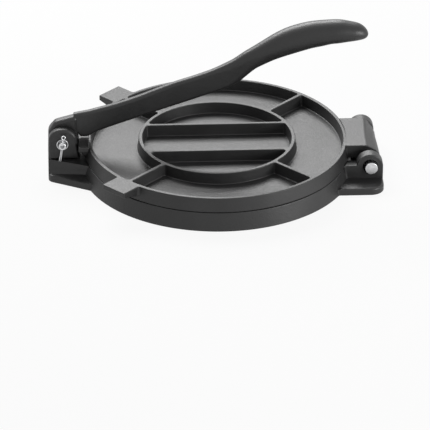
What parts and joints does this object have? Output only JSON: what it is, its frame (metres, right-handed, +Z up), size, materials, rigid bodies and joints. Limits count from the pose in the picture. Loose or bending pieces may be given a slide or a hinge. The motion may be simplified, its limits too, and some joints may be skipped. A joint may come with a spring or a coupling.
{
  "type": "tortilla press",
  "caption": "Cast iron press with a hinged upper plate that a long lever pushes down on a round base plate.",
  "frame": {"origin": "centre of the round plates, in the plane of the base's bottom faces, on the table", "axes": "+Z up; +X from the lever's pivot to the plate hinge; -Y towards the cotter pin's side, which is the picture's front"},
  "size_m": [0.2752, 0.226, 0.1315],
  "materials": {
    "base_iron": "black seasoned casting, fine sand texture, soft sheen",
    "plate_iron": "black seasoned casting, fine sand texture, soft sheen",
    "lever_iron": "black seasoned casting, fine sand texture, soft sheen",
    "hinge_pin_steel": "bare cut end of a steel rod",
    "lever_pin_steel": "bright zinc plate",
    "washer_steel": "bright zinc plate",
    "cotter_steel": "bright zinc plate"
  },
  "bodies": {
    "base": {"base_plate": "base_iron", "hinge_pin": "hinge_pin_steel", "lever_pin": "lever_pin_steel", "lever_pin_washer": "washer_steel", "cotter_pin": "cotter_steel"},
    "plate": {"upper_plate": "plate_iron"},
    "lever": {"press_lever": "lever_iron"}
  },
  "joints": [
    {"name": "lever_hinge", "type": "hinge", "parent": "base", "child": "lever", "pos_m": [-0.128, 0, 0.03], "axis": [0, -1, 0], "range_deg": [0, 160]},
    {"name": "upper_plate_hinge", "type": "hinge", "parent": "base", "child": "plate", "pos_m": [0.1252, 0, 0.0162], "axis": [0, 1, 0], "range_deg": [0, 110]}
  ],
  "couplings": [
    {"joint": "upper_plate_hinge", "follows": "lever_hinge", "ratio": 0.066}
  ]
}
